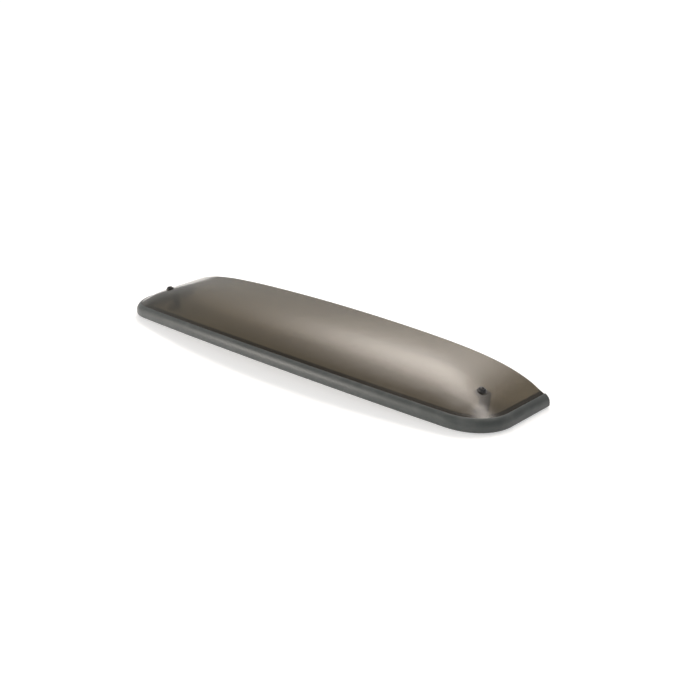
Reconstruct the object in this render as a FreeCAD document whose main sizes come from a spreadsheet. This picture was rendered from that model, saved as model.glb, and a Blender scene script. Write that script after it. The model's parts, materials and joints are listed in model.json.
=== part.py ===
import FreeCAD, Part
import Sketcher
import math
import os

# Sunroof wind deflector, in millimetres.
# X runs across the car, Y to the rear and Z up. The origin is the middle of the
# bounding box at the level of the seal's lowest point, which is its rear ends.
# A smoked acrylic panel, formed as a low dome that is open at the rear, carries a
# rubber seal along its front and side edge. Two screws near the front corners hold
# the clamp brackets that grip the front edge of the roof opening from below.

V = FreeCAD.Vector
doc = FreeCAD.newDocument("sunroof_wind_deflector")

# Driving dimensions
SIZES = [
    ("roof_radius", 4500.0, "side to side curve of the roof that the seal lies on"),
    ("rear_half_width", 459.6, "middle to the seal's outer side at the rear ends"),
    ("depth", 224.0, "seal's front to its rear ends"),
    ("side_sweep", 2.8, "angle of each side, wider at the rear, degrees"),
    ("front_radius", 2260.0, "plan radius of the front edge"),
    ("corner_radius", 90.0, "plan radius of the front corners"),
    ("rear_bow", 8.0, "how far the rear edge's middle lies forward of its ends"),
    ("rear_step", 1.0, "panel's rear ends, forward of the seal's ends"),
    ("end_trim", 2.0, "seal cut off flush at its rear ends"),
    ("panel_wall", 3.0, "acrylic sheet thickness"),
    ("dome_rise", 31.8, "rear edge's height above the seal lip, at the middle"),
    ("rim_slope", 0.5, "rise per length of the straight rim in the seal"),
    ("rim_width", 4.0, "straight rim inward of the seal lip"),
    ("rim_blend", 26.0, "stretch over which the rim turns into the dome"),
    ("side_power", 7.6, "how late the dome falls towards its sides"),
    ("front_power", 3.3, "how late the dome falls towards its front"),
    ("corner_power", 2.4, "how full the dome is over the front corners"),
    ("edge_round", 0.8, "polished round on the rear edge"),
    ("seal_base", 22.0, "width of the seal's foot and bulb"),
    ("seal_lip_height", 22.3, "panel's height above the roof at the seal lip"),
    ("seal_lip_inset", 10.0, "seal lip's distance inward of the seal's outer side"),
    ("seal_nose_top", 8.5, "height at which the seal's outer side starts to round over"),
    ("seal_top_radius", 15.5, "round over the top of the seal's outer side"),
    ("seal_top_turn", 65.0, "how far that round turns inward, degrees"),
    ("seal_foot_radius", 5.0, "round between the seal's outer side and its foot"),
    ("seal_inner_radius", 3.0, "round between the seal's inner side and its foot"),
    ("seal_lip_tip", 0.55, "thickness of the upper lip at its tip"),
    ("slot_inset", 7.5, "slot's bottom, inward of the seal's outer side"),
    ("slot_fit", 0.15, "clearance on each face of the panel in the slot"),
    ("grip_length", 9.5, "how far the lower lip reaches past the upper one"),
    ("grip_wall", 2.2, "height of the lower lip"),
    ("neck_width", 14.5, "seal between its grip and its bulb"),
    ("bulb_height", 14.0, "top of the seal's bulb"),
    ("bulb_shoulder", 5.0, "round on the bulb's inner top edge"),
    ("chamber_radius", 4.2, "rounded ends of the bulb's air chamber"),
    ("chamber_run", 5.6, "straight stretch between those ends"),
    ("chamber_level", 7.0, "middle of the air chamber above the roof"),
    ("screw_inset", 67.1, "screws' distance inward of the seal's rear ends, across"),
    ("screw_setback", 118.5, "screws' distance behind the seal's front"),
    ("screw_radius", 3.0, "screw shank"),
    ("screw_reach", 16.0, "shank below the panel's outer face"),
    ("head_radius", 6.6, "button head"),
    ("head_rim", 0.8, "upright rim of the button head"),
    ("head_top_radius", 3.0, "flat on top of the button head"),
    ("head_height", 4.0, "button head"),
    ("head_dome_radius", 5.4, "round of the button head in section"),
    ("socket_width", 4.0, "hexagon socket across its flats"),
    ("socket_depth", 2.2, "hexagon socket"),
    ("washer_radius", 8.0, "washer under the head"),
    ("washer_wall", 1.2, "washer under the head"),
    ("seat_gap", 0.2, "gap that lets a flat face sit on the curved panel"),
    ("bush_hole", 9.0, "hole in the panel for the rubber bush"),
    ("bush_fit", 0.1, "clearance round the bush and round the shank in it"),
    ("bush_radius", 8.0, "bush's flange below the panel"),
    ("bush_wall", 1.6, "bush's flange below the panel"),
    ("strip_width", 20.0, "bracket's steel strip"),
    ("strip_wall", 1.8, "bracket's steel strip"),
    ("strip_hole", 6.6, "bracket's screw hole, and the washers' holes"),
    ("strip_corner", 6.0, "rounded front corners of the bracket's flange"),
    ("flange_front", 10.0, "bracket's flange ahead of the screw"),
    ("leg_setback", 13.0, "bracket's upright leg behind the screw"),
    ("bend_radius", 2.5, "inside radius of the bracket's lower bend"),
    ("jaw_length", 18.0, "bracket's jaw under the roof's edge, from the leg forward"),
    ("jaw_corner", 3.0, "rounded corners of the jaw's tip"),
    ("roof_skin", 1.2, "roof edge that the jaw holds against the seal's plane"),
    ("pad_wall", 0.8, "rubber boot on the jaw"),
    ("pad_cover", 12.0, "length of jaw that the boot covers"),
    ("pad_fit", 0.1, "clearance of the boot on the jaw"),
    ("nut_flats", 10.0, "hexagon nut across its flats"),
    ("nut_height", 4.4, "hexagon part of the lock nut"),
    ("nut_collar_radius", 4.5, "lock nut's collar"),
    ("nut_collar_height", 1.4, "lock nut's collar"),
    ("nut_washer_radius", 6.0, "washer on the nut"),
    ("nut_washer_wall", 1.0, "washer on the nut"),
]

sizes = doc.addObject("Spreadsheet::Sheet", "sizes")
for row, (name, value, note) in enumerate(SIZES, start=1):
    sizes.set("A%d" % row, name)
    sizes.set("B%d" % row, str(value))
    sizes.set("C%d" % row, note)
    sizes.setAlias("B%d" % row, name)
doc.recompute()


def size(name):
    return float(sizes.get(name))


# Plan outline: front arc, two corner arcs and two straight sides, all tangent. The
# driving line is the seal's outer side, and every other line runs inside it.
front_y = -size("depth") / 2
rear_y = size("depth") / 2
sweep = math.radians(size("side_sweep"))
side_end = V(size("rear_half_width"), rear_y, 0)
side_forward = V(-math.sin(sweep), -math.cos(sweep), 0)
side_inward = V(-math.cos(sweep), math.sin(sweep), 0)
front_centre = V(0, front_y + size("front_radius"), 0)


def find_corner_centre():
    """A corner radius inside the side, and inside the front arc, at once."""
    radius = size("corner_radius")
    start = side_end + side_inward * radius - front_centre
    half = start.dot(side_forward)
    run = -half + math.sqrt(half ** 2 - start.dot(start) + (size("front_radius") - radius) ** 2)
    return front_centre + start + side_forward * run


corner_centre = find_corner_centre()
corner_outward = (corner_centre - front_centre).normalize()


def outline_points(inset):
    """Ends and middles of the right half's pieces, a distance inside the driving line."""
    radius = size("corner_radius") - inset
    middle = (corner_outward - side_inward).normalize()
    return {
        "front": V(0, front_y + inset, 0),
        "front_end": corner_centre + corner_outward * radius,
        "corner": corner_centre + middle * radius,
        "side_start": corner_centre - side_inward * radius,
        "side_end": side_end + side_inward * inset,
    }


def mirrored(point):
    return V(-point.x, point.y, point.z)


def roof_height(x):
    """The roof's curve, which is level with the seal's rear ends at zero."""
    radius = size("roof_radius")
    return math.sqrt(radius ** 2 - x ** 2) - math.sqrt(radius ** 2 - side_end.x ** 2)


def inward_distance(x, y):
    """How far a point lies inside the driving line, and the X of its nearest point there."""
    point = V(abs(x), y, 0)
    from_corner = point - corner_centre
    if from_corner.dot(side_forward) > 0 and from_corner.cross(corner_outward).z < 0:
        reach = from_corner.Length
        nearest = corner_centre + from_corner * (size("corner_radius") / reach)
        return size("corner_radius") - reach, nearest.x
    from_front = point - front_centre
    front_distance = size("front_radius") - from_front.Length
    side_distance = (point - side_end).dot(side_inward)
    if side_distance < front_distance:
        return side_distance, (point - side_inward * side_distance).x
    return front_distance, abs(from_front.x) * size("front_radius") / from_front.Length


# The dome is a height over the plan. Near the seal it is a straight rim that follows
# the outline at one slope. Inside that it turns into a dome whose height falls with a
# power of the way to the side and to the front, and the two powers are joined by a
# third so that the level lines round the corners as the outline does.
def dome_height(x, y):
    lip = size("seal_lip_inset")
    inward, foot_x = inward_distance(x, y)
    rim = roof_height(foot_x) + size("seal_lip_height") + size("rim_slope") * (inward - lip)
    lip_half_width = side_end.x - lip / math.cos(sweep)
    to_side = abs(x) / (lip_half_width - math.tan(sweep) * (rear_y - y))
    lip_front = front_centre.y - math.sqrt((size("front_radius") - lip) ** 2 - x ** 2)
    lip_rear = rear_y - size("rear_bow") * (1 - (x / lip_half_width) ** 2)
    to_front = max(lip_rear - y, 0) / (lip_rear - lip_front)
    fullness = size("corner_power")
    fall = to_side ** (size("side_power") * fullness) + to_front ** (size("front_power") * fullness)
    crown = roof_height(x * side_end.x / lip_half_width) + size("seal_lip_height")
    dome = crown + size("dome_rise") * (1 - fall ** (1 / fullness))
    share = (inward - lip - size("rim_width")) / size("rim_blend")
    share = min(max(share, 0), 1)
    share = share ** 3 * (10 - 15 * share + 6 * share ** 2)
    return rim + (dome - rim) * share


def dome_normal(x, y):
    """Upward unit normal of the panel's outer face."""
    step = 0.5
    slope_x = (dome_height(x + step, y) - dome_height(x - step, y)) / (2 * step)
    slope_y = (dome_height(x, y + step) - dome_height(x, y - step)) / (2 * step)
    return V(-slope_x, -slope_y, 1).normalize()


def dome_block(depth):
    """Solid under a smooth face through the dome's heights, a wall's depth below them."""
    margin = 4.0
    spacing = 9.0
    half_x = side_end.x + margin
    length = size("depth") + 2 * margin
    columns = 2 * round(half_x / spacing) + 1
    rows = round(length / spacing) + 1
    step_x = 2 * half_x / (columns - 1)
    step_y = length / (rows - 1)
    grid = []
    for i in range(columns):
        x = -half_x + step_x * i
        heights = []
        for j in range(rows):
            y = front_y - margin + step_y * j
            drop = depth / dome_normal(x, y).z if depth else 0
            heights.append(dome_height(x, y) - drop)
        grid.append(heights)
    surface = Part.BSplineSurface()
    surface.interpolate(grid, -half_x, step_x, front_y - margin, step_y)
    return surface.toShape().extrude(V(0, 0, -2 * size("depth")))


# Sketch helpers
def origin_plane(body, role):
    for feature in body.Origin.OriginFeatures:
        if feature.Role == role:
            return feature
    raise ValueError("no plane " + role)


def new_sketch(body, role, name):
    sketch = body.newObject("Sketcher::SketchObject", name)
    sketch.AttachmentSupport = (origin_plane(body, role), "")
    sketch.MapMode = "FlatFace"
    return sketch


def bound(sketch, kind, elements, value, expression):
    """A measured constraint whose value follows the sizes."""
    index = sketch.addConstraint(Sketcher.Constraint(kind, *elements, value))
    sketch.setExpression("Constraints[%d]" % index, expression)


def fixed_point(sketch, across, up, guess):
    """A construction point held by two expressions."""
    point = sketch.addGeometry(Part.Point(V(guess[0], guess[1], 0)), True)
    for kind, axis, expression, value in (
        ("DistanceX", -2, across, guess[0]),
        ("DistanceY", -1, up, guess[1]),
    ):
        if expression == "0":
            sketch.addConstraint(Sketcher.Constraint("PointOnObject", point, 1, axis))
        else:
            bound(sketch, kind, (-1, 1, point, 1), value, expression)
    return point


def draw_profile(sketch, corners, arcs=None):
    """Closed outline through corners, each a pair of expressions. arcs gives, for the
    side that starts at a corner, the names that add up to its radius and its turn."""
    arcs = arcs or {}
    points = []
    for i, (across, up) in enumerate(corners):
        points.append(fixed_point(sketch, across, up, (3.0 + i, 2.0 + i)))
    doc.recompute()
    places = [V(sketch.getPoint(point, 1)) for point in points]
    for i, start in enumerate(places):
        after = (i + 1) % len(places)
        end = places[after]
        if i not in arcs:
            side = sketch.addGeometry(Part.LineSegment(start, end))
            first, last = 1, 2
        else:
            names, turn = arcs[i]
            radius = sum(size(name) for name in names)
            chord = end - start
            height = math.sqrt(max(radius ** 2 - chord.dot(chord) / 4, 0))
            across = V(-chord.y, chord.x, 0).normalize() * height
            centre = (start + end) * 0.5 + (across if turn == "left" else across * -1)
            circle = Part.Circle(centre, V(0, 0, 1), radius)
            ends = (start, end) if turn == "left" else (end, start)
            angles = [math.atan2(place.y - centre.y, place.x - centre.x) for place in ends]
            side = sketch.addGeometry(Part.ArcOfCircle(circle, angles[0], angles[1]))
            first, last = (1, 2) if turn == "left" else (2, 1)
        sketch.addConstraint(Sketcher.Constraint("Coincident", side, first, points[i], 1))
        sketch.addConstraint(Sketcher.Constraint("Coincident", side, last, points[after], 1))
        if i in arcs:
            expression = " + ".join("sizes." + name for name in arcs[i][0])
            bound(sketch, "Radius", (side,), radius, expression)


def draw_obround(sketch, centres, radius_name):
    """Two half circles about a left and a right centre, joined by straight lines."""
    radius = size(radius_name)
    points = [fixed_point(sketch, *centre, (1.0 + i, 1.0)) for i, centre in enumerate(centres)]
    doc.recompute()
    left, right = [V(sketch.getPoint(point, 1)) for point in points]
    up = V(0, radius, 0)
    top = sketch.addGeometry(Part.LineSegment(left + up, right + up))
    foot = sketch.addGeometry(Part.LineSegment(left - up, right - up))
    ends = []
    for centre, point, start in ((left, points[0], math.pi / 2), (right, points[1], -math.pi / 2)):
        circle = Part.Circle(centre, V(0, 0, 1), radius)
        end = sketch.addGeometry(Part.ArcOfCircle(circle, start, start + math.pi))
        sketch.addConstraint(Sketcher.Constraint("Coincident", end, 3, point, 1))
        bound(sketch, "Radius", (end,), radius, "sizes." + radius_name)
        ends.append(end)
    for line, line_end, arc, arc_end in (
        (top, 1, ends[0], 1),
        (top, 2, ends[1], 2),
        (foot, 1, ends[0], 2),
        (foot, 2, ends[1], 1),
    ):
        sketch.addConstraint(Sketcher.Constraint("Tangent", line, line_end, arc, arc_end))


def circle_at_origin(sketch, radius, expression):
    ring = sketch.addGeometry(Part.Circle(V(0, 0, 0), V(0, 0, 1), radius))
    sketch.addConstraint(Sketcher.Constraint("Coincident", ring, 3, -1, 1))
    bound(sketch, "Radius", (ring,), radius, expression)


def draw_hexagon(sketch, flats):
    """Hexagon about the origin with two corners on the X axis."""
    full = "sizes.%s / sqrt(3)" % flats
    half = "sizes.%s / sqrt(3) / 2" % flats
    side = "sizes.%s / 2" % flats
    corners = [(full, "0"), (half, side), ("-" + half, side)]
    corners += [("-" + full, "0"), ("-" + half, "-" + side), (half, "-" + side)]
    draw_profile(sketch, corners)


def draw_plan(sketch, inset, inset_expression, reach, reach_expression):
    """The plan outline's open front and sides, a distance inside the driving line. Its
    ends reach a length behind the seal's rear ends."""
    points = outline_points(inset)
    end_x = side_end.x - inset / math.cos(sweep) + reach * math.tan(sweep)
    end = V(end_x, rear_y + reach, 0)
    sketch.addGeometry(Part.LineSegment(mirrored(end), mirrored(points["side_start"])))
    for first, middle, last in (
        (mirrored(points["side_start"]), mirrored(points["corner"]), mirrored(points["front_end"])),
        (mirrored(points["front_end"]), points["front"], points["front_end"]),
        (points["front_end"], points["corner"], points["side_start"]),
    ):
        sketch.addGeometry(Part.ArcOfCircle(first, middle, last))
    sketch.addGeometry(Part.LineSegment(points["side_start"], end))
    left_side, left_corner, front_arc, right_corner, right_side = range(5)
    for before, before_end, after, after_end in (
        (left_side, 2, left_corner, 1),
        (left_corner, 2, front_arc, 1),
        (front_arc, 2, right_corner, 1),
        (right_corner, 2, right_side, 1),
    ):
        sketch.addConstraint(
            Sketcher.Constraint("Tangent", before, before_end, after, after_end)
        )
    sketch.addConstraint(Sketcher.Constraint("Symmetric", left_side, 1, right_side, 2, -2))
    sketch.addConstraint(Sketcher.Constraint("Symmetric", left_side, 2, right_side, 1, -2))
    sketch.addConstraint(Sketcher.Constraint("PointOnObject", front_arc, 3, -2))
    bound(sketch, "DistanceX", (-1, 1, right_side, 2), end.x,
          "sizes.rear_half_width - (%s) / cos(sizes.side_sweep * 1 deg)"
          " + (%s) * tan(sizes.side_sweep * 1 deg)" % (inset_expression, reach_expression))
    bound(sketch, "DistanceY", (-1, 1, right_side, 2), end.y,
          "sizes.depth / 2 + (%s)" % reach_expression)
    bound(sketch, "Angle", (right_side,), math.pi / 2 - sweep,
          "90 deg - sizes.side_sweep * 1 deg")
    bound(sketch, "DistanceY", (-1, 1, front_arc, 3), front_centre.y,
          "sizes.front_radius - sizes.depth / 2")
    bound(sketch, "Radius", (front_arc,), size("front_radius") - inset,
          "sizes.front_radius - (%s)" % inset_expression)
    bound(sketch, "Radius", (right_corner,), size("corner_radius") - inset,
          "sizes.corner_radius - (%s)" % inset_expression)
    return left_side, right_side


# Edge seal: one extruded profile, bent round the front and corners on the roof's curve
plan = doc.addObject("Sketcher::SketchObject", "seal_plan")
draw_plan(plan, 0, "0", size("end_trim"), "sizes.end_trim")

# The roof under it, a cylinder along the car whose surface is level with the seal's ends
roof = doc.addObject("Part::Cylinder", "roof_form")
roof.Placement = FreeCAD.Placement(V(0, 0, 0), FreeCAD.Rotation(V(1, 0, 0), 90))
roof.setExpression("Radius", "sizes.roof_radius")
roof.setExpression("Height", "2 * sizes.depth")
roof.setExpression("Placement.Base.y", "sizes.depth")
roof.setExpression("Placement.Base.z", "-sqrt(sizes.roof_radius^2 - sizes.rear_half_width^2)")
doc.recompute()

# Plan outline laid on the roof
path = doc.addObject("Part::Feature", "seal_path")
laid = roof.Shape.Faces[0].makeParallelProjection(plan.Shape, V(0, 0, 1))
on_top = [edge for edge in laid.Edges if edge.BoundBox.ZMin > -size("depth")]
path.Shape = Part.Wire(Part.__sortEdges__(on_top))

# Profile at the left rear end, seen from behind: inward is to the right
section = doc.addObject("Sketcher::SketchObject", "seal_section")
section.Placement = FreeCAD.Placement(
    V(0, 0, 0), FreeCAD.Rotation(size("side_sweep"), 0, 90)
)
end_reach = "(sizes.rear_half_width + sizes.end_trim * tan(sizes.side_sweep * 1 deg))"
section.setExpression("Placement.Base.x", "-" + end_reach)
section.setExpression("Placement.Base.y", "sizes.depth / 2 + sizes.end_trim")
section.setExpression(
    "Placement.Base.z",
    "sqrt(sizes.roof_radius^2 - %s^2) - sqrt(sizes.roof_radius^2 - sizes.rear_half_width^2)"
    % end_reach,
)

rim_stretch = "sqrt(1 + sizes.rim_slope^2)"
fit_rise = "sizes.slot_fit * " + rim_stretch
wall_rise = "(sizes.panel_wall + sizes.slot_fit) * " + rim_stretch
deep = "sizes.seal_lip_height - sizes.rim_slope * (sizes.seal_lip_inset - sizes.slot_inset)"
neck = "sizes.seal_lip_height + sizes.rim_slope * (sizes.neck_width - sizes.seal_lip_inset)"
grip = "sizes.seal_lip_height + sizes.rim_slope * sizes.grip_length"
grip_inset = "sizes.seal_lip_inset + sizes.grip_length"
draw_profile(
    section,
    [
        ("sizes.seal_foot_radius", "0"),
        ("0", "sizes.seal_foot_radius"),
        ("0", "sizes.seal_nose_top"),
        ("sizes.seal_top_radius * (1 - cos(sizes.seal_top_turn * 1 deg))",
         "sizes.seal_nose_top + sizes.seal_top_radius * sin(sizes.seal_top_turn * 1 deg)"),
        ("sizes.seal_lip_inset", "sizes.seal_lip_height + sizes.seal_lip_tip + " + fit_rise),
        ("sizes.seal_lip_inset", "sizes.seal_lip_height + " + fit_rise),
        ("sizes.slot_inset", deep + " + " + fit_rise),
        ("sizes.slot_inset", deep + " - " + wall_rise),
        (grip_inset, grip + " - " + wall_rise),
        (grip_inset, grip + " - sizes.grip_wall - " + wall_rise),
        ("sizes.neck_width", neck + " - sizes.grip_wall - " + wall_rise),
        ("sizes.neck_width", "sizes.bulb_height"),
        ("sizes.seal_base - sizes.bulb_shoulder", "sizes.bulb_height"),
        ("sizes.seal_base", "sizes.bulb_height - sizes.bulb_shoulder"),
        ("sizes.seal_base", "sizes.seal_inner_radius"),
        ("sizes.seal_base - sizes.seal_inner_radius", "0"),
    ],
    {
        0: (["seal_foot_radius"], "right"),
        2: (["seal_top_radius"], "right"),
        12: (["bulb_shoulder"], "right"),
        14: (["seal_inner_radius"], "right"),
    },
)
middle = "sizes.seal_base / 2"
draw_obround(
    section,
    [
        (middle + " - sizes.chamber_run / 2", "sizes.chamber_level"),
        (middle + " + sizes.chamber_run / 2", "sizes.chamber_level"),
    ],
    "chamber_radius",
)
doc.recompute()


def cut(name, base, tool):
    feature = doc.addObject("Part::Cut", name)
    feature.Base = base
    feature.Tool = tool
    return feature


# The profile stays upright all the way along the path
profiles = sorted(section.Shape.Wires, key=lambda wire: wire.Length)
lengths = []
for name, profile in zip(("seal_chamber", "seal_outside"), profiles):
    pipe = Part.BRepOffsetAPI.MakePipeShell(path.Shape)
    pipe.setBiNormalMode(V(0, 0, 1))
    pipe.add(profile, False, False)
    pipe.build()
    pipe.makeSolid()
    length = doc.addObject("Part::Feature", name)
    length.Shape = pipe.shape()
    lengths.append(length)
extrusion = cut("seal_extrusion", lengths[1], lengths[0])

behind = doc.addObject("Part::Box", "seal_end_cut")
behind.setExpression("Length", "3 * sizes.rear_half_width")
behind.setExpression("Width", "sizes.depth")
behind.setExpression("Height", "sizes.depth")
behind.setExpression("Placement.Base.x", "-1.5 * sizes.rear_half_width")
behind.setExpression("Placement.Base.y", "sizes.depth / 2")
behind.setExpression("Placement.Base.z", "-sizes.depth / 2")
seal = cut("edge_seal", extrusion, behind)

# Panel: the plan outline cut out of a sheet between two domes a wall apart
panel_plan = doc.addObject("Sketcher::SketchObject", "panel_plan")
left_side, right_side = draw_plan(
    panel_plan,
    size("slot_inset") + size("slot_fit"),
    "sizes.slot_inset + sizes.slot_fit",
    -size("rear_step"),
    "-sizes.rear_step",
)
rear_ends = [V(panel_plan.getPoint(side, end)) for side, end in ((right_side, 2), (left_side, 1))]
rear_middle = V(0, rear_y - size("rear_step") - size("rear_bow"), 0)
rear_arc = panel_plan.addGeometry(Part.ArcOfCircle(rear_ends[0], rear_middle, rear_ends[1]))
arc_ends = [panel_plan.getPoint(rear_arc, end) for end in (1, 2)]
right_first = arc_ends[0].x > 0
for side, end, arc_end in (
    (right_side, 2, 1 if right_first else 2),
    (left_side, 1, 2 if right_first else 1),
):
    panel_plan.addConstraint(Sketcher.Constraint("Coincident", rear_arc, arc_end, side, end))
middle_point = panel_plan.addGeometry(Part.Point(rear_middle), True)
for onto in (rear_arc, -2):
    panel_plan.addConstraint(Sketcher.Constraint("PointOnObject", middle_point, 1, onto))
bound(panel_plan, "DistanceY", (-1, 1, middle_point, 1), rear_middle.y,
      "sizes.depth / 2 - sizes.rear_step - sizes.rear_bow")

prism = doc.addObject("Part::Extrusion", "panel_prism")
prism.Base = panel_plan
prism.DirMode = "Custom"
prism.Dir = V(0, 0, 1)
prism.setExpression("LengthFwd", "sizes.depth")
prism.Solid = True
domes = []
for name, depth in (("dome_outside", 0), ("dome_inside", size("panel_wall"))):
    dome = doc.addObject("Part::Feature", name)
    dome.Shape = dome_block(depth)
    domes.append(dome)
sheet = cut("dome_sheet", domes[0], domes[1])
blank = doc.addObject("Part::MultiCommon", "panel_blank")
blank.Shapes = [sheet, prism]

# Screw frame: origin on the panel's outer face, Z along its normal
screw_x = size("rear_half_width") - size("screw_inset")
screw_y = front_y + size("screw_setback")
screw_point = V(screw_x, screw_y, dome_height(screw_x, screw_y))
screw_axis = dome_normal(screw_x, screw_y)
screw_frame = FreeCAD.Placement(
    screw_point, FreeCAD.Rotation(V(1, 0, 0), V(0, 1, 0), screw_axis, "ZXY")
)

drill = doc.addObject("Part::Cylinder", "bush_drill")
drill.Placement = screw_frame.multiply(
    FreeCAD.Placement(V(0, 0, -4 * size("panel_wall")), FreeCAD.Rotation())
)
drill.setExpression("Radius", "sizes.bush_hole / 2")
drill.setExpression("Height", "8 * sizes.panel_wall")


def mirror(source, name):
    """The same piece on the other side of the car."""
    feature = doc.addObject("Part::Mirroring", name)
    feature.Source = source
    feature.Normal = V(1, 0, 0)
    return feature


drills = doc.addObject("Part::MultiFuse", "bush_drills")
drills.Shapes = [drill, mirror(drill, "bush_drill_left")]
drilled = cut("panel_drilled", blank, drills)
doc.recompute()

panel = doc.addObject("Part::Fillet", "panel")
panel.Base = drilled
rear_edges = []
for number, edge in enumerate(drilled.Shape.Edges, start=1):
    middle = edge.valueAt((edge.FirstParameter + edge.LastParameter) / 2)
    if abs(middle.x) < 1 and abs(middle.y - rear_middle.y) < 0.01:
        rear_edges.append((number, size("edge_round"), size("edge_round")))
panel.Edges = rear_edges
doc.recompute()


def screw_body(name):
    """A body in the screw frame."""
    body = doc.addObject("PartDesign::Body", name)
    body.Placement = screw_frame
    return body


def level_sketch(body, name, level):
    """Sketch square to the body's Z axis, at a level."""
    sketch = new_sketch(body, "XY_Plane", name)
    sketch.AttachmentOffset = FreeCAD.Placement()
    sketch.setExpression("AttachmentOffset.Base.z", level)
    return sketch


def pad(body, name, sketch, length, downward=False):
    feature = body.newObject("PartDesign::Pad", name)
    feature.Profile = sketch
    feature.setExpression("Length", length)
    feature.Reversed = downward


def revolve(body, name, sketch):
    feature = body.newObject("PartDesign::Revolution", name)
    feature.Profile = sketch
    feature.ReferenceAxis = (sketch, ["V_Axis"])
    feature.Angle = 360


def ring(name, level, radius, wall, downward):
    """Washer at a level."""
    body = screw_body(name)
    sketch = level_sketch(body, name + "_outline", level)
    circle_at_origin(sketch, size(radius), "sizes." + radius)
    circle_at_origin(sketch, size("strip_hole") / 2, "sizes.strip_hole / 2")
    pad(body, name + "_plate", sketch, "sizes." + wall, downward)
    return body


# Levels under the panel, all measured from its outer face
bush_top = "-(sizes.panel_wall + sizes.seat_gap)"
flange_top = "-(sizes.panel_wall + sizes.seat_gap + sizes.bush_wall)"
flange_foot = flange_top + " - sizes.strip_wall"
nut_top = flange_foot + " - sizes.nut_washer_wall"
head_seat = "sizes.seat_gap + sizes.washer_wall"

washer = ring("washer_right", "sizes.seat_gap", "washer_radius", "washer_wall", False)
nut_washer = ring("nut_washer_right", flange_foot, "nut_washer_radius", "nut_washer_wall", True)

# Screw: button head with a hexagon socket
screw = screw_body("screw_right")
turned = new_sketch(screw, "XZ_Plane", "screw_profile")
tip = "sizes.screw_radius / 6"
draw_profile(
    turned,
    [
        ("0", "-sizes.screw_reach"),
        ("sizes.screw_radius - " + tip, "-sizes.screw_reach"),
        ("sizes.screw_radius", "-sizes.screw_reach + " + tip),
        ("sizes.screw_radius", head_seat),
        ("sizes.head_radius", head_seat),
        ("sizes.head_radius", head_seat + " + sizes.head_rim"),
        ("sizes.head_top_radius", head_seat + " + sizes.head_height"),
        ("0", head_seat + " + sizes.head_height"),
    ],
    {5: (["head_dome_radius"], "left")},
)
revolve(screw, "screw_turned", turned)
socket_plan = level_sketch(screw, "socket_outline", head_seat + " + sizes.head_height")
draw_hexagon(socket_plan, "socket_width")
doc.recompute()
socket = screw.newObject("PartDesign::Pocket", "socket")
socket.Profile = socket_plan
socket.setExpression("Length", "sizes.socket_depth")

# Rubber bush: flange under the panel, collar up through its hole
bush = screw_body("rubber_bush_right")
bush_profile = new_sketch(bush, "XZ_Plane", "bush_profile")
bore = "sizes.screw_radius + sizes.bush_fit"
collar = "sizes.bush_hole / 2 - sizes.bush_fit"
draw_profile(
    bush_profile,
    [
        (bore, flange_top),
        ("sizes.bush_radius", flange_top),
        ("sizes.bush_radius", bush_top),
        (collar, bush_top),
        (collar, "sizes.seat_gap - sizes.bush_fit"),
        (bore, "sizes.seat_gap - sizes.bush_fit"),
    ],
)
revolve(bush, "bush_turned", bush_profile)

# Lock nut: hexagon with a round collar below it
nut = screw_body("lock_nut_right")
nut_plan = level_sketch(nut, "nut_outline", nut_top)
draw_hexagon(nut_plan, "nut_flats")
circle_at_origin(nut_plan, size("screw_radius") + size("bush_fit"), bore)
pad(nut, "nut_hexagon", nut_plan, "sizes.nut_height", True)
collar_plan = level_sketch(nut, "nut_collar_outline", nut_top + " - sizes.nut_height")
circle_at_origin(collar_plan, size("nut_collar_radius"), "sizes.nut_collar_radius")
circle_at_origin(collar_plan, size("screw_radius") + size("bush_fit"), bore)
pad(nut, "nut_collar", collar_plan, "sizes.nut_collar_height", True)

# Clamp bracket: a steel strip with a flange square to the screw, an upright leg behind
# it and a jaw that reaches forward under the edge of the roof opening
flange = screw_body("bracket_flange")
flange_plan = level_sketch(flange, "flange_outline", flange_top)
half_strip = "sizes.strip_width / 2"
flange_back = "sizes.leg_setback + sizes.strip_wall / 2"
draw_profile(
    flange_plan,
    [
        (half_strip, flange_back),
        ("-" + half_strip, flange_back),
        ("-" + half_strip, "-sizes.flange_front + sizes.strip_corner"),
        ("-%s + sizes.strip_corner" % half_strip, "-sizes.flange_front"),
        (half_strip + " - sizes.strip_corner", "-sizes.flange_front"),
        (half_strip, "-sizes.flange_front + sizes.strip_corner"),
    ],
    {2: (["strip_corner"], "left"), 4: (["strip_corner"], "left")},
)
circle_at_origin(flange_plan, size("strip_hole") / 2, "sizes.strip_hole / 2")
pad(flange, "flange_plate", flange_plan, "sizes.strip_wall", True)

# Roof frame: origin on the roof under the middle of the flange, Z square to the roof
flange_level = -(size("panel_wall") + size("seat_gap") + size("bush_wall"))
flange_middle = screw_point + screw_axis * flange_level
roof_middle = V(0, flange_middle.y, -math.sqrt(size("roof_radius") ** 2 - side_end.x ** 2))
roof_up = (flange_middle - roof_middle).normalize()
roof_frame = FreeCAD.Placement(
    roof_middle + roof_up * size("roof_radius"),
    FreeCAD.Rotation(V(1, 0, 0), V(0, 1, 0), roof_up, "ZXY"),
)

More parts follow.
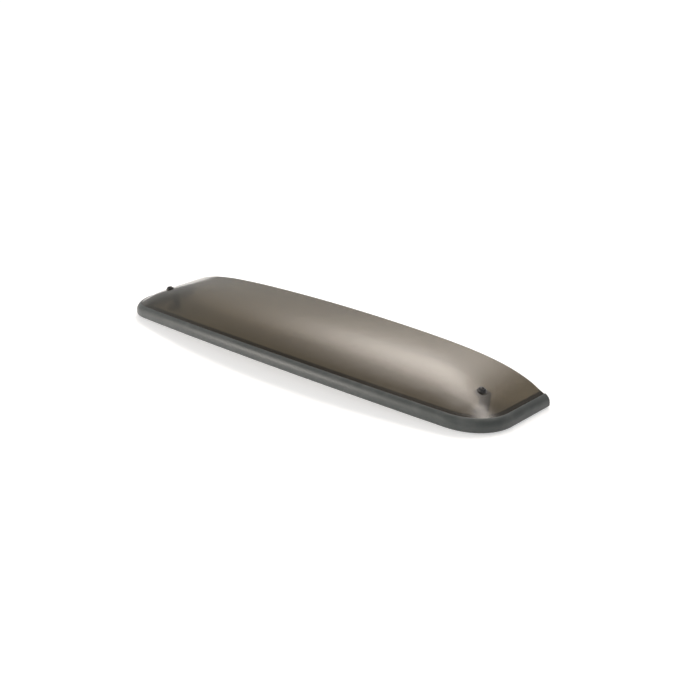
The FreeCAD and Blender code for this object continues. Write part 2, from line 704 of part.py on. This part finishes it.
leg = doc.addObject("PartDesign::Body", "bracket_leg")
leg.Placement = roof_frame
leg_profile = new_sketch(leg, "YZ_Plane", "leg_profile")
leg_back = "sizes.leg_setback + sizes.strip_wall"
leg_top = "sizes.seal_lip_height + sizes.dome_rise"
jaw_top = "-(sizes.roof_skin + sizes.pad_wall + sizes.pad_fit)"
jaw_foot = jaw_top + " - sizes.strip_wall"
jaw_tip = leg_back + " - sizes.jaw_length"
bend_start = "sizes.leg_setback - sizes.bend_radius"
bend_end = jaw_top + " + sizes.bend_radius"
draw_profile(
    leg_profile,
    [
        (bend_start, jaw_foot),
        (leg_back, bend_end),
        (leg_back, leg_top),
        ("sizes.leg_setback", leg_top),
        ("sizes.leg_setback", bend_end),
        (bend_start, jaw_top),
        (jaw_tip, jaw_top),
        (jaw_tip, jaw_foot),
    ],
    {0: (["bend_radius", "strip_wall"], "left"), 4: (["bend_radius"], "right")},
)
leg_pad = leg.newObject("PartDesign::Pad", "leg_strip")
leg_pad.Profile = leg_profile
leg_pad.setExpression("Length", "sizes.strip_width")
leg_pad.Midplane = True
doc.recompute()
tip_y = size("leg_setback") + size("strip_wall") - size("jaw_length")
tip_edges = []
for number, edge in enumerate(leg_pad.Shape.Edges, start=1):
    ends = [vertex.Point for vertex in edge.Vertexes]
    upright = abs(ends[0].z - ends[-1].z) > size("strip_wall") / 2
    if upright and all(abs(end.y - tip_y) < 0.01 for end in ends):
        tip_edges.append("Edge%d" % number)
leg_tip = leg.newObject("PartDesign::Fillet", "jaw_corners")
leg_tip.Base = (leg_pad, tip_edges)
leg_tip.setExpression("Radius", "sizes.jaw_corner")

above = doc.addObject("Part::Box", "above_flange")
above.Placement = screw_frame.multiply(
    FreeCAD.Placement(V(-size("depth") / 2, -size("depth") / 2, flange_level), FreeCAD.Rotation())
)
for side_name in ("Length", "Width", "Height"):
    above.setExpression(side_name, "sizes.depth")
leg_cut = cut("bracket_leg_cut", leg, above)
joined = doc.addObject("Part::MultiFuse", "bracket_joined")
joined.Shapes = [flange, leg_cut]
joined.Refine = True
doc.recompute()

# The bend between flange and leg
on_flange = []
for number, edge in enumerate(joined.Shape.Edges, start=1):
    local = [roof_frame.inverse().multVec(vertex.Point) for vertex in edge.Vertexes]
    along = [screw_frame.inverse().multVec(vertex.Point) for vertex in edge.Vertexes]
    on_back = all(abs(place.y - size("leg_setback") - size("strip_wall")) < 0.01 for place in local)
    if len(local) == 2 and on_back and all(abs(place.z - flange_level) < 0.01 for place in along):
        on_flange.append((number, size("bend_radius"), size("bend_radius")))
bracket = doc.addObject("Part::Fillet", "clamp_bracket_right")
bracket.Base = joined
bracket.Edges = on_flange

# Rubber boot on the jaw
boot = doc.addObject("PartDesign::Body", "clamp_pad_right")
boot.Placement = roof_frame
boot_side = half_strip + " + sizes.pad_fit + sizes.pad_wall"
boot_front = "%s - sizes.pad_fit - sizes.pad_wall" % jaw_tip
boot_back = "%s + sizes.pad_cover" % jaw_tip


def boot_outline(name, level, side, front, back, corner, corner_names):
    """Rectangle with rounded front corners."""
    sketch = level_sketch(boot, name, level)
    draw_profile(
        sketch,
        [
            (side, back),
            ("-(%s)" % side, back),
            ("-(%s)" % side, "%s + %s" % (front, corner)),
            ("-(%s) + %s" % (side, corner), front),
            ("%s - (%s)" % (side, corner), front),
            (side, "%s + %s" % (front, corner)),
        ],
        {2: (corner_names, "left"), 4: (corner_names, "left")},
    )
    return sketch


hollow_corner = "sizes.jaw_corner + sizes.pad_fit"
boot_plan = boot_outline("boot_outline", "-sizes.roof_skin", boot_side, boot_front, boot_back,
                         hollow_corner + " + sizes.pad_wall",
                         ["jaw_corner", "pad_fit", "pad_wall"])
pad(boot, "boot_block", boot_plan,
    "sizes.strip_wall + 2 * sizes.pad_fit + 2 * sizes.pad_wall", True)
hollow_plan = boot_outline("boot_hollow_outline", "-(sizes.roof_skin + sizes.pad_wall)",
                           half_strip + " + sizes.pad_fit", jaw_tip + " - sizes.pad_fit",
                           boot_back + " + sizes.pad_wall", hollow_corner,
                           ["jaw_corner", "pad_fit"])
doc.recompute()
hollow = boot.newObject("PartDesign::Pocket", "boot_hollow")
hollow.Profile = hollow_plan
hollow.setExpression("Length", "sizes.strip_wall + 2 * sizes.pad_fit")
doc.recompute()

# The left pieces mirror the right ones
pieces = [panel, seal]
for piece in (screw, washer, bush, bracket, nut_washer, nut, boot):
    pieces += [piece, mirror(piece, piece.Name.replace("_right", "_left"))]
doc.recompute()

for item in doc.Objects:
    if "Invalid" in item.State or "Error" in item.State:
        raise RuntimeError("%s: %s" % (item.Name, item.State))
os.makedirs("parts", exist_ok=True)
for piece in pieces:
    if piece.Shape.isNull() or not piece.Shape.isValid():
        raise RuntimeError("%s has no valid shape" % piece.Name)
    piece.Label = piece.Name
    piece.Shape.exportStep("parts/%s.step" % piece.Label)
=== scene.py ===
# %% [markdown]
# # Sunroof wind deflector: looks
#
# The CAD frame has every solid piece of the deflector: a smoked acrylic dome, the rubber
# seal along its front and sides, and at each side a screw with its washer, bush, clamp
# bracket, boot and lock nut. This script gives them their materials, adds the screw
# threads that show below the nuts, and lights and frames them as in the photograph.
#
# What it teaches:
#
# 1. One small class turns shader sums into ordinary Python sums.
# 2. A fastener's material is drawn in the fastener's own frame, so turning marks run
#    round its axis even though it leans with the panel.
# 3. A dark transparent panel is lit by what it reflects and by what stands behind it, so
#    the room's glows and the pale floor matter as much as its own colour.
#
# ## The frame
#
# The solid pieces come from the CAD model, one mesh for each node and already in place.
# They could be modelled once more in Blender, but two models of one part soon differ. So
# the script loads them and only dresses them.

# %% Load the frame
import json
import math

import bmesh
import bpy
from mathutils import Matrix, Vector


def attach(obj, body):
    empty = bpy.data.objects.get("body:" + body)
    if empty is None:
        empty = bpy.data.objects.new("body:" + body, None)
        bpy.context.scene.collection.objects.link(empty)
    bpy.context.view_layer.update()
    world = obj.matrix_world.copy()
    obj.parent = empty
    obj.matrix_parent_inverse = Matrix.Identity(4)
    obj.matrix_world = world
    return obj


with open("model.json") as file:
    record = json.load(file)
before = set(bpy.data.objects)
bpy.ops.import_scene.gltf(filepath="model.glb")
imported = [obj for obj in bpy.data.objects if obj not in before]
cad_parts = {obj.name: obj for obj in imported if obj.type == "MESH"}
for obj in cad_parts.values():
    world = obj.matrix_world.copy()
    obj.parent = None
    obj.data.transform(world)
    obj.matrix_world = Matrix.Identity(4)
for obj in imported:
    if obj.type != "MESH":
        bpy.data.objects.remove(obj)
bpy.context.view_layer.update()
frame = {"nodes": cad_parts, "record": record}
nodes = frame["nodes"]
MM = 0.001


# %% [markdown]
# ## Shader sums
#
# Every finish below is a few noises that are added, scaled and mixed. Their nodes could be
# made and wired one at a time, but a sum that is written as a sum is easier to read and to
# change, so a small class overloads Python's operators.
#
# `Tree` holds the nodes of a material or of the room. Its `node` method adds any node:
# options are set first, then sockets are fed with plain values or with other results. A
# `Value` is one result, and sums on it add Math nodes, also where the plain number comes
# first, as in `1 - mask`. `Graph` is a tree with one Principled surface, which measures
# places in millimetres.


# %% Shader helpers
class Value:
    """One output in a material's node tree."""

    def __init__(self, graph, socket):
        self.graph = graph
        self.socket = socket

    def math(self, operation, *others):
        feeds = dict(enumerate((self, *others)))
        return self.graph.node("Math", feeds, operation=operation)

    def math_after(self, operation, first):
        """A Math node in which this result is the second value."""
        return self.graph.node("Math", {0: first, 1: self}, operation=operation)

    def __add__(self, other):
        return self.math("ADD", other)

    def __radd__(self, other):
        return self.math_after("ADD", other)

    def __sub__(self, other):
        return self.math("SUBTRACT", other)

    def __rsub__(self, other):
        return self.math_after("SUBTRACT", other)

    def __mul__(self, other):
        return self.math("MULTIPLY", other)

    def __rmul__(self, other):
        return self.math_after("MULTIPLY", other)

    def __truediv__(self, other):
        return self.math("DIVIDE", other)

    def __rtruediv__(self, other):
        return self.math_after("DIVIDE", other)

    def between(self, low, high):
        """0 at low, 1 at high, with soft ends."""
        feeds = {"Value": self, "From Min": low, "From Max": high}
        return self.graph.node("MapRange", feeds, interpolation_type="SMOOTHSTEP")

    def parts(self):
        """The three numbers of a vector."""
        return [self.graph.node("SeparateXYZ", {0: self}, out=i) for i in range(3)]


class Tree:
    """Any shader tree: nodes are added by kind and fed by socket name or number."""

    def __init__(self, tree):
        self.tree = tree
        self.tree.nodes.clear()

    def node(self, kind, feeds=None, out=0, **options):
        made = self.tree.nodes.new("ShaderNode" + kind)
        for name, setting in options.items():
            setattr(made, name, setting)
        for name, value in (feeds or {}).items():
            self.feed(made.inputs[name], value)
        return Value(self, made.outputs[out]) if made.outputs else made

    def feed(self, socket, value):
        if isinstance(value, Value):
            self.tree.links.new(value.socket, socket)
        else:
            socket.default_value = value

    def blend(self, share, first, second):
        """A colour that goes from first to second as share goes from 0 to 1."""
        feeds = {0: share, 6: (*first, 1), 7: (*second, 1)}
        return self.node("Mix", feeds, out=2, data_type="RGBA")

    def seen_by(self, first, *others):
        """1 for rays of these kinds, and 0 for the rest."""
        seen = self.node("LightPath", out=f"Is {first} Ray")
        for kind in others:
            seen = seen.math("MAXIMUM", self.node("LightPath", out=f"Is {kind} Ray"))
        return seen


class Graph(Tree):
    """A material with one Principled surface."""

    def __init__(self, name):
        self.material = bpy.data.materials.new(name)
        self.material.use_nodes = True
        super().__init__(self.material.node_tree)
        self.surface = self.tree.nodes.new("ShaderNodeBsdfPrincipled")
        self.output = self.tree.nodes.new("ShaderNodeOutputMaterial")
        self.tree.links.new(self.surface.outputs[0], self.output.inputs["Surface"])
        scale = {0: self.node("TexCoord", out="Object"), "Scale": 1 / MM}
        self.place = self.node("VectorMath", scale, operation="SCALE")

    def noise(self, size, detail=3.0, place=None, stretch=(1, 1, 1)):
        """Noise from 0 to 1 whose lumps are about a size in millimetres."""
        place = place or self.place
        if stretch != (1, 1, 1):
            place = self.node("Mapping", {"Vector": place, "Scale": stretch})
        feeds = {"Vector": place, "Scale": 1 / size, "Detail": detail}
        return self.node("TexNoise", feeds)

    def bump(self, height, depth):
        """Relief whose full height is a depth in millimetres."""
        feeds = {"Height": height, "Distance": depth * MM, "Strength": 1.0}
        self.feed(self.surface.inputs["Normal"], self.node("Bump", feeds))

    def set(self, **values):
        for name, value in values.items():
            self.feed(self.surface.inputs[name.replace("_", " ")], value)


# %% [markdown]
# ## The screw's own frame
#
# On the real part each screw stands square to the sloping panel, so it leans outwards and a
# little to the front. A pattern could be drawn along the part's own axes, but rings round
# the screw would then come out as slanted stripes. So places are first turned into the
# screw's frame. It is the one the CAD part uses for the right screw, and the left screw is
# its mirror image, so taking X without its sign serves both.

# %% Fastener frame
screw_point = Vector((392.5, 6.5, 46.669))
screw_axis = Vector((0.304038, -0.056117, 0.951006)).normalized()
screw_across = (Vector((1, 0, 0)) - screw_axis * screw_axis.x).normalized()
screw_along = screw_axis.cross(screw_across)
screw_turn = Matrix((screw_across, screw_along, screw_axis)).transposed()


def in_screw_frame(graph):
    """Place in the screw frame, distance from the screw's axis, and level along it."""
    x, y, z = graph.place.parts()
    right = graph.node("CombineXYZ", {0: x.math("ABSOLUTE"), 1: y, 2: z})
    feeds = {"Vector": right, "Location": screw_point, "Rotation": screw_turn.to_euler()}
    place = graph.node("Mapping", feeds, vector_type="TEXTURE")
    across, along, up = place.parts()
    radius = (across * across + along * along).math("SQRT")
    return place, radius, up


print(f"the screws lean by {math.degrees(math.acos(screw_axis.z)):.1f} degrees")

# %% [markdown]
# ## Finishes
#
# The CAD record gives each node a slot, such as `screw_steel`, and pieces of one slot share
# one finish. Each cell below makes the finish of one or two slots and files it by slot.

# %% Finishes by slot
by_slot = {}


def keep_finish(slot, material):
    """File a finish under its slot, and say how many nodes it took."""
    by_slot[slot] = material
    print(f"{slot}: {len(material.node_tree.nodes)} nodes")


# %% [markdown]
# ### Smoked acrylic
#
# The panel is one sheet of tinted acrylic, formed warm into a low dome. Plain dark glass
# would be too clean for it: a real sheet has smears, dust and fine scratches from wiping.
# They hardly change its colour, so noises of three sizes feed its roughness, and a fourth
# shifts the tint a little. A small share of the surface isn't transparent and shows the
# tint in shade. A larger share left grain in the panel's highlight.


# %% Smoked acrylic
def smoked_acrylic():
    """Smears, dust and fine scratches only change how sharp its reflections are."""
    g = Graph("smoked_acrylic")
    smear = g.noise(60, 4.0).between(0.42, 0.7)
    dust = g.noise(3.5, 2.0).between(0.72, 0.80)
    scratch = g.noise(2.2, 2.0, stretch=(0.02, 1, 1)).between(0.70, 0.76)
    cloud = g.noise(140, 2.0).between(0.3, 0.7)
    g.set(
        Base_Color=g.blend(cloud, (0.122, 0.098, 0.064), (0.108, 0.087, 0.057)),
        Roughness=smear * 0.03 + dust * 0.03 + scratch * 0.02 + 0.11,
        IOR=1.49,
        Transmission_Weight=0.88,
    )
    g.bump(g.noise(28, 1.0), 0.02)
    return g.material


keep_finish("smoked_acrylic", smoked_acrylic())

# %% [markdown]
# ### Seal rubber
#
# The seal is rubber that is pushed through a die, which leaves fine lines along its length.
# They could follow a UV map, but a CAD mesh has none. The seal lies on the curved roof, so
# the height above the roof serves instead: a noise in one dimension, fed with that height,
# gives lines that run level all round. A pale bloom in patches makes the rubber look used.

# %% Seal rubber
ROOF_RADIUS = 4500.0
ROOF_CENTRE_DEPTH = 4476.47


def seal_rubber():
    """Fine lines left by extrusion follow the roof's curve, at a level above it."""
    g = Graph("seal_rubber")
    x, y, z = g.place.parts()
    roof = (ROOF_RADIUS ** 2 - x * x).math("SQRT") - ROOF_CENTRE_DEPTH
    level = z - roof
    lines = g.node("TexNoise", {"W": level * 1.6, "Scale": 1.0, "Detail": 4.0},
                   noise_dimensions="1D")
    grain = g.noise(0.6, 2.0)
    bloom = g.noise(35, 5.0).between(0.45, 0.75)
    g.set(
        Base_Color=g.blend(bloom, (0.058, 0.065, 0.063), (0.085, 0.092, 0.090)),
        Roughness=bloom * 0.10 + grain * 0.10 + 0.36,
        IOR=1.5,
    )
    g.bump(lines * 0.7 + grain * 0.3, 0.10)
    return g.material


keep_finish("seal_rubber", seal_rubber())

# %% [markdown]
# ### Plain rubber
#
# The bushes in the panel's holes and the boots on the brackets' jaws are moulded rubber.
# They could share the seal's finish, but a mould leaves a fine grain and no lines. One
# function with two colours makes both, and a little dust lightens them in places.


# %% Plain rubber
def plain_rubber(name, dark, light):
    g = Graph(name)
    grain = g.noise(0.5, 3.0)
    dust = g.noise(6, 4.0).between(0.5, 0.75)
    g.set(Base_Color=g.blend(dust, dark, light), Roughness=grain * 0.2 + dust * 0.15 + 0.55)
    g.bump(grain, 0.05)
    return g.material


for slot, dark, light in (
    ("bush_rubber", (0.014, 0.014, 0.015), (0.03, 0.03, 0.03)),
    ("pad_rubber", (0.018, 0.018, 0.019), (0.045, 0.044, 0.042)),
):
    keep_finish(slot, plain_rubber(slot, dark, light))

# %% [markdown]
# ### Blackened steel
#
# The screws and the washers under their heads are steel with a thin black coat. It wears
# off first at the outer edge, where tools and fingers touch. The wear could be painted on
# by hand, but the distance from the screw's axis already says where that edge is, and the
# same distance winds the marks of turning round the axis.


# %% Blackened steel
def black_steel(name, rim):
    """Turning marks run round the screw's axis, and the coat is thin at the rim."""
    g = Graph(name)
    place, radius, up = in_screw_frame(g)
    turned = g.node("TexNoise", {"W": radius * 3 + up, "Scale": 1.0, "Detail": 3.0},
                    noise_dimensions="1D")
    near_rim = (radius - rim).math("ABSOLUTE").between(0.35, 0.0)
    worn = near_rim * g.noise(1.2, 3.0, place).between(0.4, 0.6)
    g.set(
        Base_Color=g.blend(worn, (0.022, 0.022, 0.024), (0.16, 0.155, 0.15)),
        Metallic=worn * 0.6 + 0.35,
        Roughness=turned * 0.18 + 0.24,
    )
    g.bump(turned, 0.04)
    return g.material


for slot, rim in (("screw_steel", 6.6), ("washer_steel", 8.0)):
    keep_finish(slot, black_steel(slot, rim))

# %% [markdown]
# ### Coated bracket
#
# The clamp bracket is bent from steel strip and coated black. Such a coat has a faintly
# lumpy skin, like the peel of an orange, and is rubbed paler in places. It has no marks of
# turning, so two plain noises do: a fine one for the skin and a coarse one for the rubbing.


# %% Coated bracket
def coated_steel():
    g = Graph("bracket_steel")
    peel = g.noise(1.4, 2.0)
    rub = g.noise(9, 5.0).between(0.60, 0.78)
    g.set(
        Base_Color=g.blend(rub, (0.024, 0.024, 0.026), (0.075, 0.074, 0.072)),
        Metallic=0.2,
        Roughness=rub * 0.12 + peel * 0.12 + 0.30,
    )
    g.bump(peel, 0.05)
    return g.material


keep_finish("bracket_steel", coated_steel())

# %% [markdown]
# ### Zinc plate
#
# The lock nuts and the washers on them are zinc plated, so they are bright metal with a
# warm tint that clouds a little. A flat grey would look like paint, so the surface is fully
# metallic, and the same marks of turning as on the screws break up its shine.


# %% Zinc plate
def zinc_plate():
    g = Graph("nut_steel")
    place, radius, up = in_screw_frame(g)
    turned = g.node("TexNoise", {"W": radius * 2 + up * 2, "Scale": 1.0, "Detail": 3.0},
                    noise_dimensions="1D")
    tint = g.noise(3, 3.0, place).between(0.35, 0.7)
    g.set(
        Base_Color=g.blend(tint, (0.62, 0.61, 0.58), (0.50, 0.50, 0.46)),
        Metallic=1.0,
        Roughness=turned * 0.15 + tint * 0.08 + 0.24,
    )
    g.bump(turned, 0.03)
    return g.material


keep_finish("nut_steel", zinc_plate())

# %% [markdown]
# ## Dressing the CAD nodes
#
# The record lists the node and the slot of every piece. Materials could be given by name,
# one node at a time, but reading the record keeps the looks and the CAD model in step.

# %% Give the CAD nodes their materials
for part in frame["record"]["subparts"]:
    mesh = nodes[part["node"]].data
    mesh.materials.clear()
    mesh.materials.append(by_slot[part["material_slot"]])

# %% [markdown]
# ## Screw threads
#
# Only the last turns show, below each lock nut. They could be bump in the material, but
# bump doesn't change an outline, so they are a shape. A ridge with a triangular section is
# wound down the shank as one mesh. It is drawn ring by ring, because the ridge runs out to
# nothing at its two ends. The spin operator could wind it too, with an offset at each
# step, and its ends would then be narrowed afterwards.
#
# Two helpers come first, because the floor, the lamp and the camera need them too.


# %% New objects
def add_object(name, data):
    """An object for some data, put in the scene."""
    made = bpy.data.objects.new(name, data)
    bpy.context.collection.objects.link(made)
    return made


def add_mesh(name, mesh, material):
    """An object from a bmesh that is finished, with one material."""
    data = bpy.data.meshes.new(name)
    mesh.to_mesh(data)
    mesh.free()
    data.materials.append(material)
    return add_object(name, data)


# %% Threads
def thread(name, side):
    """Wind one ridge in the screw frame; side -1 mirrors it to the left screw."""
    start, end = -13.5, -15.4
    pitch = 0.85
    root, crest, half = 2.97, 3.22, 0.36
    turns = (start - end) / pitch
    steps_per_turn = 40
    run_out = 12
    steps = round(turns * steps_per_turn)
    mesh = bmesh.new()
    rings = []
    for i in range(steps + 1):
        share = i / steps
        angle = 2 * math.pi * turns * share
        level = start + (end - start) * share
        grow = min(1, share * run_out, (1 - share) * run_out)
        out = Vector((math.cos(angle), math.sin(angle), 0))
        up = Vector((0, 0, half * grow))
        section = [out * root + up, out * (root + (crest - root) * grow), out * root - up]
        ring = []
        for corner in section:
            spot = screw_point + screw_turn @ (corner + Vector((0, 0, level)))
            spot.x *= side
            ring.append(mesh.verts.new(spot * MM))
        rings.append(ring)
    for before, after in zip(rings, rings[1:]):
        for i in range(3):
            j = (i + 1) % 3
            mesh.faces.new((before[i], before[j], after[j], after[i]))
    mesh.faces.new(rings[0])
    mesh.faces.new(rings[-1])
    bmesh.ops.recalc_face_normals(mesh, faces=mesh.faces)
    made = add_mesh(name, mesh, by_slot["screw_steel"])
    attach(made, "root")
    print(f"{name}: {turns:.1f} turns, {len(made.data.polygons)} faces")


thread("thread_left", -1)
thread("thread_right", 1)

# %% [markdown]
# ## Floor
#
# The photograph's ground is white, and yet the part has to stand on something. A floor
# that is white by its lamps alone would need so much light that the part would be washed
# out. So the floor is pale grey and adds a little light of its own, which only rays from
# the camera and from shiny or clear surfaces see. The soft shadow stays. From below the
# floor is clear, so that the underside can be looked at.


# %% Floor
def make_floor():
    """White to what looks at it, so that only the shadow shows, and clear from below."""
    mesh = bmesh.new()
    bmesh.ops.create_grid(mesh, x_segments=1, y_segments=1, size=8.0)
    g = Graph("floor")
    g.set(
        Base_Color=g.blend(g.noise(300, 2.0), (0.70, 0.70, 0.70), (0.72, 0.72, 0.72)),
        Roughness=0.9,
        Specular_IOR_Level=0.1,
    )
    seen = g.seen_by("Camera", "Glossy", "Transmission")
    lift = g.node("Emission", {"Color": (1, 1, 1, 1), "Strength": seen * 0.50})
    both = g.node("AddShader", {0: Value(g, g.surface.outputs[0]), 1: lift})
    from_below = g.node("NewGeometry", out="Backfacing")
    one_way = g.node("MixShader", {0: from_below, 1: both, 2: g.node("BsdfTransparent")})
    g.feed(g.output.inputs["Surface"], one_way)
    floor = add_mesh("floor", mesh, g.material)
    clear_of_seal = 0.0005
    floor.location.z = -clear_of_seal
    print(f"floor: {clear_of_seal / MM} mm below the part")


make_floor()

# %% [markdown]
# ## Softbox
#
# The photograph has almost no shadow on the floor. One weak softbox fills the shade in
# front of the seal. It is an area lamp, because a small lamp would add a sharp shadow.


# %% Softbox
def softbox(name, aim, place, size, energy):
    lamp = bpy.data.lights.new(name, "AREA")
    lamp.shape = "ELLIPSE"
    lamp.size, lamp.size_y = size
    lamp.energy = energy
    hung = add_object(name, lamp)
    hung.location = place
    hung.rotation_euler = (Vector(place) - Vector(aim)).to_track_quat("Z", "Y").to_euler()
    print(f"{name}: {energy} W")


softbox("softbox_front", (0.0, 0.0, 0.05), (1.30, -1.50, 1.70), (1.0, 0.7), 5.0)

# %% [markdown]
# ## Room
#
# A dark glossy panel shows what it mirrors more than its own colour. In the photograph it
# mirrors soft lights without edges. More softboxes could hang there, but their outlines
# would show in the panel. So the room itself glows: each glow is a direction, a power that
# says how fast it falls off around that direction, and a strength. Three stand behind and
# above the panel, and one at the left makes the light on the seal. The walls are bright
# low down and dark above. Seen directly or through the panel, the room is the picture's
# white ground.

# %% Room
glows = [
    ((-0.443, 0.622, 0.646), 45, 4.5),
    ((-0.253, 0.471, 0.845), 29, 5.4),
    ((0.109, 0.428, 0.897), 110, 7.0),
    ((-0.600, -0.760, 0.250), 30, 11.0),
]
world = bpy.data.worlds.new("studio")
world.use_nodes = True
bpy.context.scene.world = world
room = Tree(world.node_tree)
ray = room.node("TexCoord", out="Object")
height = ray.parts()[2]
above = 1 - height.math("MAXIMUM", 0.0)
walls = (above * above * 0.67 + 0.20) * (height.between(0.0, 0.35) * 0.5 + 0.5)
below = height.between(0.01, -0.03) * 0.6
lobes = []
for direction, power, strength in glows:
    feeds = {0: ray, 1: direction}
    aligned = room.node("VectorMath", feeds, out="Value", operation="DOT_PRODUCT")
    lobes.append(aligned.math("MAXIMUM", 0.0).math("POWER", power) * strength)
glow = sum(lobes)
brightness = walls + below + glow
colour = room.blend(glow / brightness, (0.98, 1.0, 1.0), (1.08, 1.0, 0.93))
light = room.node("Background", {"Color": colour, "Strength": brightness})
ground = room.node("Background", {"Color": (1, 1, 1, 1), "Strength": 1.05})
seen = room.seen_by("Camera", "Transmission")
room.node("OutputWorld", {"Surface": room.node("MixShader", {0: seen, 1: light, 2: ground})})
print(f"{world.name}: {len(glows)} glows, {len(world.node_tree.nodes)} nodes")

# %% [markdown]
# ## Camera
#
# The part is seen from the front, its right and a little above. The camera could be placed
# by its coordinates, but two angles and a distance from a point on the part are easier to
# compare with the photograph. The lens shift moves the part in the frame without turning
# the camera, so the perspective stays as it was fitted.

# %% Camera
turn, tilt = 0.71737, 0.36736
distance = 1.9127
target = Vector((0, 0.112, 0.02353))
back = Vector((math.sin(turn) * math.cos(tilt), -math.cos(turn) * math.cos(tilt), math.sin(tilt)))
right = Vector((math.cos(turn), math.sin(turn), 0))
lens = bpy.data.cameras.new("camera")
lens.lens = 50.355
lens.shift_x = 0.01063
lens.shift_y = -0.02944
camera = add_object("camera", lens)
facing = Matrix((right, back.cross(right), back)).transposed().to_4x4()
camera.matrix_world = Matrix.Translation(target + back * distance) @ facing
bpy.context.scene.camera = camera
bpy.context.scene.view_settings.view_transform = "Standard"
print(f"camera: {math.degrees(turn):.1f} degrees round, {math.degrees(tilt):.1f} up")
